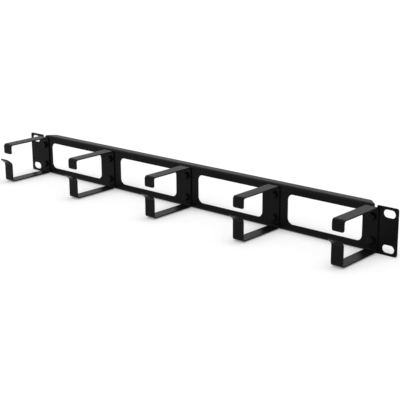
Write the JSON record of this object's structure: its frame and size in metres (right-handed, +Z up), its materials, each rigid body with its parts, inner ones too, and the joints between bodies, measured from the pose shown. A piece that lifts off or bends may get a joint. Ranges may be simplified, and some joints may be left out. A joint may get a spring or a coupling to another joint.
{
  "type": "horizontal cable manager",
  "caption": "One-unit rack panel of folded sheet with wide windows and open rings of bent strip on its front, which hold patch cables along the rack.",
  "frame": {"origin": "centre of the four rack slots, on the back face of the sheet, where the ears touch the rack rails", "axes": "+X along the panel, +Z up, -Y out of the rack towards the user, so the rings stand out along -Y"},
  "size_m": [0.4826, 0.0707, 0.0436],
  "materials": {
    "panel_coat": "black powder coat, satin, fine texture",
    "ring_coat": "black powder coat, satin, fine texture",
    "rivet_black": "black painted blind rivet, satin",
    "mandrel_steel": "dark phosphated steel, dull"
  },
  "bodies": {
    "root": {"panel": "panel_coat", "ring_1": "ring_coat", "rivet_1_upper": "rivet_black", "mandrel_1_upper": "mandrel_steel", "rivet_1_lower": "rivet_black", "mandrel_1_lower": "mandrel_steel", "ring_2": "ring_coat", "rivet_2_upper": "rivet_black", "mandrel_2_upper": "mandrel_steel", "rivet_2_lower": "rivet_black", "mandrel_2_lower": "mandrel_steel", "ring_3": "ring_coat", "rivet_3_upper": "rivet_black", "mandrel_3_upper": "mandrel_steel", "rivet_3_lower": "rivet_black", "mandrel_3_lower": "mandrel_steel", "ring_4": "ring_coat", "rivet_4_upper": "rivet_black", "mandrel_4_upper": "mandrel_steel", "rivet_4_lower": "rivet_black", "mandrel_4_lower": "mandrel_steel", "ring_5": "ring_coat", "rivet_5_upper": "rivet_black", "mandrel_5_upper": "mandrel_steel", "rivet_5_lower": "rivet_black", "mandrel_5_lower": "mandrel_steel"}
  },
  "joints": []
}
